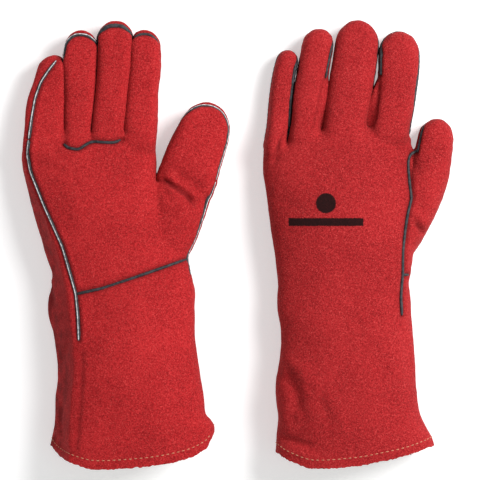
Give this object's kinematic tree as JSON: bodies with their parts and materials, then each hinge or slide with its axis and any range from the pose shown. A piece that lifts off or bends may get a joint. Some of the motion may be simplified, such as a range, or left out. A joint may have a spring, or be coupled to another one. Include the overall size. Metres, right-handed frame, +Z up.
{
  "type": "welding gloves",
  "caption": "Pair of long-cuffed leather welding gauntlets lying flat, one palm up and one back up, with piped seams, bending digits and fabric linings.",
  "frame": {"origin": "on the bench, under the middle of the box round both gloves", "axes": "+Z up from the bench, +Y from the cuffs to the fingertips, +X from the right glove, which lies palm up, to the left glove, which lies back up"},
  "size_m": [0.339, 0.3514, 0.0551],
  "materials": {
    "red_leather": "matt brushed split leather",
    "grey_welt": "smooth grey welting",
    "fleece": "cotton fleece",
    "canvas": "cotton canvas",
    "thread": "aramid thread"
  },
  "bodies": {
    "right_glove": {"right_back_panel": "red_leather", "right_cuff_lining": "canvas", "right_cuff_panel": "red_leather", "right_finger_root_welt": "grey_welt", "right_fleece_lining": "fleece", "right_hem_thread": "thread", "right_little_side_welt": "grey_welt", "right_middle_index_fourchette": "red_leather", "right_palm_panel": "red_leather", "right_pinky_ring_fourchette": "red_leather", "right_ring_middle_fourchette": "red_leather", "right_thumb_heel": "red_leather", "right_thumb_heel_welt": "grey_welt", "right_thumb_side_welt": "grey_welt", "right_wrist_welt": "grey_welt"},
    "right_thumb": {"right_thumb_front": "red_leather", "right_thumb_back": "red_leather", "right_thumb_welt": "grey_welt"},
    "right_index": {"right_index_front": "red_leather", "right_index_back": "red_leather", "right_index_welt": "grey_welt"},
    "right_middle": {"right_middle_front": "red_leather", "right_middle_back": "red_leather", "right_middle_welt": "grey_welt"},
    "right_ring": {"right_ring_front": "red_leather", "right_ring_back": "red_leather", "right_ring_welt": "grey_welt"},
    "right_pinky": {"right_pinky_front": "red_leather", "right_pinky_back": "red_leather", "right_pinky_welt": "grey_welt"},
    "left_glove": {"left_back_panel": "red_leather", "left_cuff_lining": "canvas", "left_cuff_panel": "red_leather", "left_finger_root_welt": "grey_welt", "left_fleece_lining": "fleece", "left_hem_thread": "thread", "left_little_side_welt": "grey_welt", "left_middle_index_fourchette": "red_leather", "left_palm_panel": "red_leather", "left_pinky_ring_fourchette": "red_leather", "left_ring_middle_fourchette": "red_leather", "left_thumb_heel": "red_leather", "left_thumb_heel_welt": "grey_welt", "left_thumb_side_welt": "grey_welt", "left_wrist_welt": "grey_welt"},
    "left_thumb": {"left_thumb_front": "red_leather", "left_thumb_back": "red_leather", "left_thumb_welt": "grey_welt"},
    "left_index": {"left_index_front": "red_leather", "left_index_back": "red_leather", "left_index_welt": "grey_welt"},
    "left_middle": {"left_middle_front": "red_leather", "left_middle_back": "red_leather", "left_middle_welt": "grey_welt"},
    "left_ring": {"left_ring_front": "red_leather", "left_ring_back": "red_leather", "left_ring_welt": "grey_welt"},
    "left_pinky": {"left_pinky_front": "red_leather", "left_pinky_back": "red_leather", "left_pinky_welt": "grey_welt"}
  },
  "joints": [
    {"name": "left_glove_lift", "type": "slide", "parent": "right_glove", "child": "left_glove", "axis": [0, 0, 1], "range_m": [0, 0.2]},
    {"name": "right_thumb_bend", "type": "hinge", "parent": "right_glove", "child": "right_thumb", "pos_m": [-0.03934, 0.05327, 0.032], "axis": [0.9665, -0.2566, 0], "range_deg": [0, 40]},
    {"name": "right_index_bend", "type": "hinge", "parent": "right_glove", "child": "right_index", "pos_m": [-0.07654, 0.07927, 0.028], "axis": [1, 0, 0], "range_deg": [0, 60], "deforming": ["right_middle_index_fourchette"]},
    {"name": "right_middle_bend", "type": "hinge", "parent": "right_glove", "child": "right_middle", "pos_m": [-0.10334, 0.07927, 0.029], "axis": [1, 0, 0], "range_deg": [0, 60], "deforming": ["right_fleece_lining", "right_ring_middle_fourchette"]},
    {"name": "right_ring_bend", "type": "hinge", "parent": "right_glove", "child": "right_ring", "pos_m": [-0.12534, 0.07727, 0.028], "axis": [1, 0, 0], "range_deg": [0, 60]},
    {"name": "right_pinky_bend", "type": "hinge", "parent": "right_glove", "child": "right_pinky", "pos_m": [-0.15134, 0.07427, 0.026], "axis": [1, 0, 0], "range_deg": [0, 60], "deforming": ["right_pinky_ring_fourchette"]},
    {"name": "left_thumb_bend", "type": "hinge", "parent": "left_glove", "child": "left_thumb", "pos_m": [0.15196, 0.06577, 0], "axis": [-0.9891, 0.1471, 0], "range_deg": [0, 40]},
    {"name": "left_index_bend", "type": "hinge", "parent": "left_glove", "child": "left_index", "pos_m": [0.11826, 0.08527, 0], "axis": [-1, 0, 0], "range_deg": [0, 60], "deforming": ["left_middle_index_fourchette"]},
    {"name": "left_middle_bend", "type": "hinge", "parent": "left_glove", "child": "left_middle", "pos_m": [0.08206, 0.08527, 0], "axis": [-1, 0, 0], "range_deg": [0, 60], "deforming": ["left_fleece_lining", "left_ring_middle_fourchette"]},
    {"name": "left_ring_bend", "type": "hinge", "parent": "left_glove", "child": "left_ring", "pos_m": [0.05146, 0.08277, 0], "axis": [-1, 0, 0], "range_deg": [0, 60]},
    {"name": "left_pinky_bend", "type": "hinge", "parent": "left_glove", "child": "left_pinky", "pos_m": [0.02886, 0.07627, 0], "axis": [-1, 0, 0], "range_deg": [0, 60], "deforming": ["left_pinky_ring_fourchette"]}
  ]
}
